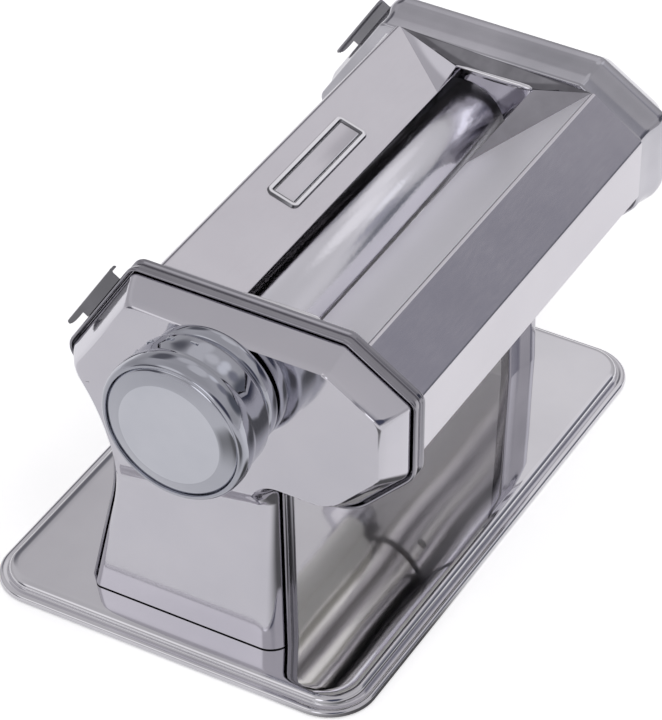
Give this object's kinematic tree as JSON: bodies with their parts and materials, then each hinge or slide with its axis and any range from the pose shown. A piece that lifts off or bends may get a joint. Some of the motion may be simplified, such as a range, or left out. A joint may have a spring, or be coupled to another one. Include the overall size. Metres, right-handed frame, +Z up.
{
  "type": "pasta roller machine",
  "caption": "Kitchen machine that rolls dough into sheets between steel rollers, with a folded hopper above them and a turning knob that sets the gap.",
  "frame": {"origin": "centre of the underside of the base, on the table", "axes": "+X along the rollers toward the crank socket, -X toward the regulator knob, -Y front, +Z up"},
  "size_m": [0.2571, 0.1678, 0.1552],
  "materials": {
    "polished_steel": "mirror polished stainless steel",
    "chrome_knob": "mirror chrome",
    "ground_steel": "finely ground round the axis",
    "hardware": "turned steel",
    "gear_steel": "machined, oiled",
    "bronze": "sintered bronze",
    "bush_plastic": "moulded, off white",
    "rubber": "moulded, matt black"
  },
  "bodies": {
    "frame": {"base_plate": "polished_steel", "base_pad": "rubber", "foot_screws": "hardware", "foot_nuts": "hardware", "left_side_plate": "polished_steel", "right_side_plate": "polished_steel", "left_cover": "polished_steel", "right_cover": "polished_steel", "front_guard": "polished_steel", "rear_guard": "polished_steel", "left_hopper_end": "polished_steel", "right_hopper_end": "polished_steel", "tie_rods": "hardware", "tie_rod_nuts": "hardware", "drive_bushes": "bronze", "eccentric_bushes": "bronze", "bearing_bridge": "hardware", "bridge_posts": "hardware", "bridge_screws": "hardware", "index_pin": "hardware", "front_scraper": "bush_plastic", "rear_scraper": "bush_plastic"},
    "drive": {"drive_roller": "ground_steel", "drive_gear": "gear_steel", "gear_pin": "hardware", "drive_clip": "gear_steel"},
    "regulator_shaft": {"eccentric_shaft": "hardware", "knob_screw": "hardware", "knob_spring": "gear_steel"},
    "knob": {"regulator_knob": "chrome_knob", "knob_cap": "chrome_knob"},
    "roller_carrier": {"roller_sleeve": "bronze"},
    "roller": {"adjustable_roller": "ground_steel", "adjustable_gear": "gear_steel"}
  },
  "joints": [
    {"name": "drive_spin", "type": "hinge", "parent": "frame", "child": "drive", "pos_m": [0, 0.01181, 0.128], "axis": [1, 0, 0], "continuous": true},
    {"name": "regulator_turn", "type": "hinge", "parent": "frame", "child": "regulator_shaft", "pos_m": [0, -0.01914, 0.12691], "axis": [-1, 0, 0], "range_deg": [0, 120]},
    {"name": "knob_pull", "type": "slide", "parent": "regulator_shaft", "child": "knob", "axis": [-1, 0, 0], "range_m": [0, 0.0036], "stiffness_N_per_m": 1500, "springref_m": -0.002, "deforming": ["knob_spring"]},
    {"name": "bush_float", "type": "hinge", "parent": "regulator_shaft", "child": "roller_carrier", "pos_m": [0, -0.0204, 0.12764], "axis": [-1, 0, 0], "range_deg": [-120, 0]},
    {"name": "roller_spin", "type": "hinge", "parent": "roller_carrier", "child": "roller", "pos_m": [0, -0.0204, 0.12764], "axis": [1, 0, 0], "continuous": true}
  ],
  "couplings": [
    {"joint": "bush_float", "follows": "regulator_turn", "ratio": -1},
    {"joint": "roller_spin", "follows": "drive_spin", "ratio": -1}
  ]
}
